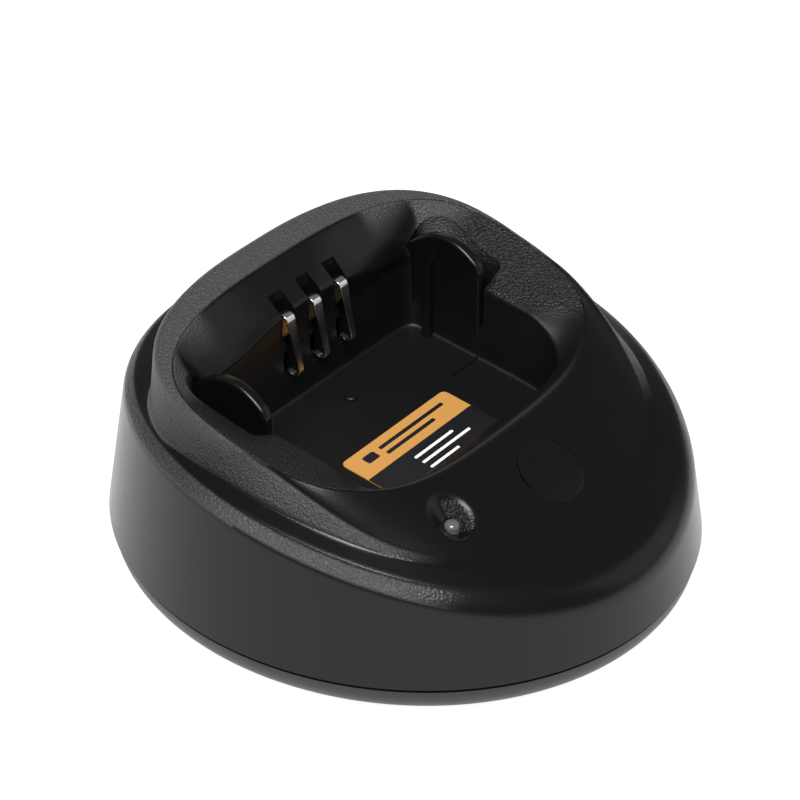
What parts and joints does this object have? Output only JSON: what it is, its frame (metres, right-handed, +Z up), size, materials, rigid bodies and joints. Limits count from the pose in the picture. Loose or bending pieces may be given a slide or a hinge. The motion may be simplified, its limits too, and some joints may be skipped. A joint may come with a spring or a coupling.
{
  "type": "desk charging cradle for a portable radio",
  "caption": "Drop-in desk charging cradle: elliptical skirted body, tilted collar round a deep radio pocket, sprung contacts, status lens and blank badge.",
  "frame": {"origin": "on the table under the centre of the elliptical body", "axes": "+Z up; -Y is the front with the badge; +X is the cradle's right side seen from the front"},
  "size_m": [0.1132, 0.1218, 0.0543],
  "materials": {
    "housing_black": "satin black moulding, leather grain on the collar slopes",
    "base_black": "satin",
    "contact_metal": "bright nickel",
    "carrier_plastic": "moulded",
    "terminal_brass": "plain",
    "screw_steel": "zinc plated",
    "lens_clear": "smoked clear plastic, dark when unlit",
    "led_body": "diffused",
    "badge_black": "satin",
    "label_print": "printed film, orange band over a dark panel",
    "board_green": "solder mask",
    "inlet_black": "moulded",
    "foot_rubber": "matte",
    "chip_black": "moulded",
    "ferrite_grey": "ferrite",
    "can_aluminium": "drawn can",
    "lead_insulation": "insulated wire",
    "plate_silver": "blank film plate"
  },
  "bodies": {
    "cradle": {"top_housing": "housing_black", "base_cover": "base_black", "contact_carrier": "carrier_plastic", "contact_terminals": "terminal_brass", "carrier_screws": "screw_steel", "status_light_pipe": "lens_clear", "status_led": "led_body", "badge_disc": "badge_black", "pocket_label": "label_print", "main_board": "board_green", "dc_inlet": "inlet_black", "inlet_center_pin": "contact_metal", "rubber_feet": "foot_rubber", "case_screws": "screw_steel", "board_screws": "screw_steel", "charge_ic": "chip_black", "inductor": "ferrite_grey", "filter_capacitors": "can_aluminium", "power_transistor": "chip_black", "chip_resistors": "chip_black", "lead_header": "carrier_plastic", "contact_leads": "lead_insulation", "rating_plate": "plate_silver"},
    "blade_left": {"contact_left": "contact_metal"},
    "blade_center": {"contact_center": "contact_metal"},
    "blade_right": {"contact_right": "contact_metal"}
  },
  "joints": [
    {"name": "contact_left_flex", "type": "hinge", "parent": "cradle", "child": "blade_left", "pos_m": [-0.0061, 0.0251, 0.04389], "axis": [1, 0, 0], "range_deg": [0, 12], "stiffness_Nm_per_rad": 0.06},
    {"name": "contact_center_flex", "type": "hinge", "parent": "cradle", "child": "blade_center", "pos_m": [0.002, 0.0251, 0.04389], "axis": [1, 0, 0], "range_deg": [0, 12], "stiffness_Nm_per_rad": 0.06},
    {"name": "contact_right_flex", "type": "hinge", "parent": "cradle", "child": "blade_right", "pos_m": [0.0101, 0.0251, 0.04389], "axis": [1, 0, 0], "range_deg": [0, 12], "stiffness_Nm_per_rad": 0.06}
  ]
}
